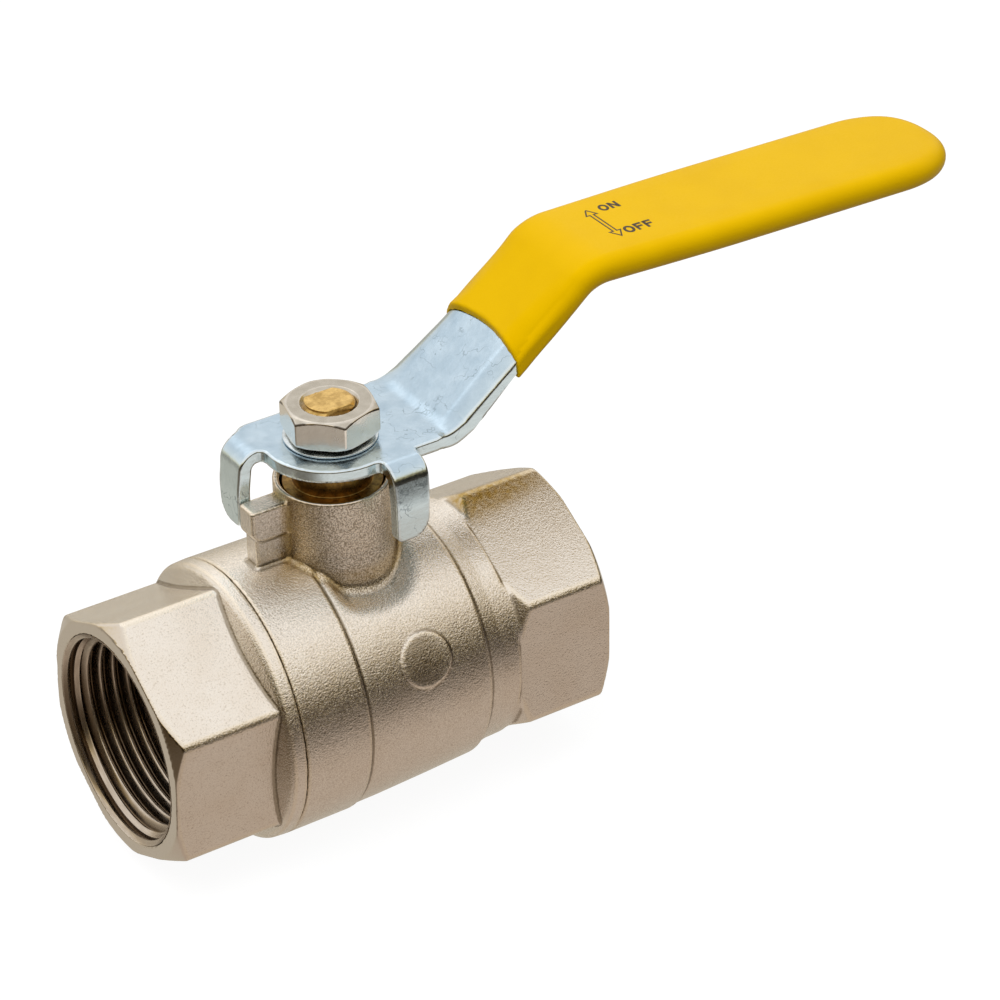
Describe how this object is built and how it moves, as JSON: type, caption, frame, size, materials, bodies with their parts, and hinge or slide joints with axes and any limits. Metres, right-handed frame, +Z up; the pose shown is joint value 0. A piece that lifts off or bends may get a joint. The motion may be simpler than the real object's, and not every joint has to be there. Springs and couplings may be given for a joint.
{
  "type": "lever ball valve",
  "caption": "Full-bore ball valve with internally threaded hexagonal pipe ends and a cranked, sleeved quarter-turn lever.",
  "frame": {"origin": "under the middle of the valve's overall length, in its plane of symmetry, level with the bottom of the body; the ball's centre is at x -39.5 mm, z 22.9 mm", "axes": "+X along the pipe from the end connector towards the lever's grip, +Z up the stem, lever open along +X"},
  "size_m": [0.157, 0.0458, 0.0852],
  "materials": {
    "nickel_plate": "shot-blasted forged brass with satin nickel plating",
    "nut_plate": "satin nickel-plated steel",
    "ball_chrome": "polished chrome over brass",
    "ptfe": "smooth white PTFE",
    "brass": "bright turned brass",
    "o_ring_rubber": "matte black nitrile",
    "zinc_plate": "bright zinc plate, lightly scratched",
    "yellow_vinyl": "semi-matte dipped vinyl",
    "spring_steel": "bright spring steel"
  },
  "bodies": {
    "valve": {"valve_body": "nickel_plate", "end_connector": "nickel_plate", "seat_inlet": "ptfe", "seat_outlet": "ptfe", "packing_lower": "ptfe", "packing_upper": "ptfe", "gland_nut": "brass"},
    "lever_and_stem": {"stem": "brass", "thrust_washer": "ptfe", "stem_o_ring_lower": "o_ring_rubber", "stem_o_ring_upper": "o_ring_rubber", "lever": "zinc_plate", "lever_sleeve": "yellow_vinyl", "spring_washer": "spring_steel", "lever_nut": "nut_plate"},
    "ball": {"ball": "ball_chrome"}
  },
  "joints": [
    {"name": "lever_turn", "type": "hinge", "parent": "valve", "child": "lever_and_stem", "pos_m": [-0.03795, 0, 0.0229], "axis": [0, 0, -1], "range_deg": [0, 90]},
    {"name": "ball_turn", "type": "hinge", "parent": "valve", "child": "ball", "pos_m": [-0.03795, 0, 0.0229], "axis": [0, 0, -1], "range_deg": [0, 90]}
  ],
  "couplings": [
    {"joint": "ball_turn", "follows": "lever_turn", "ratio": 1}
  ]
}
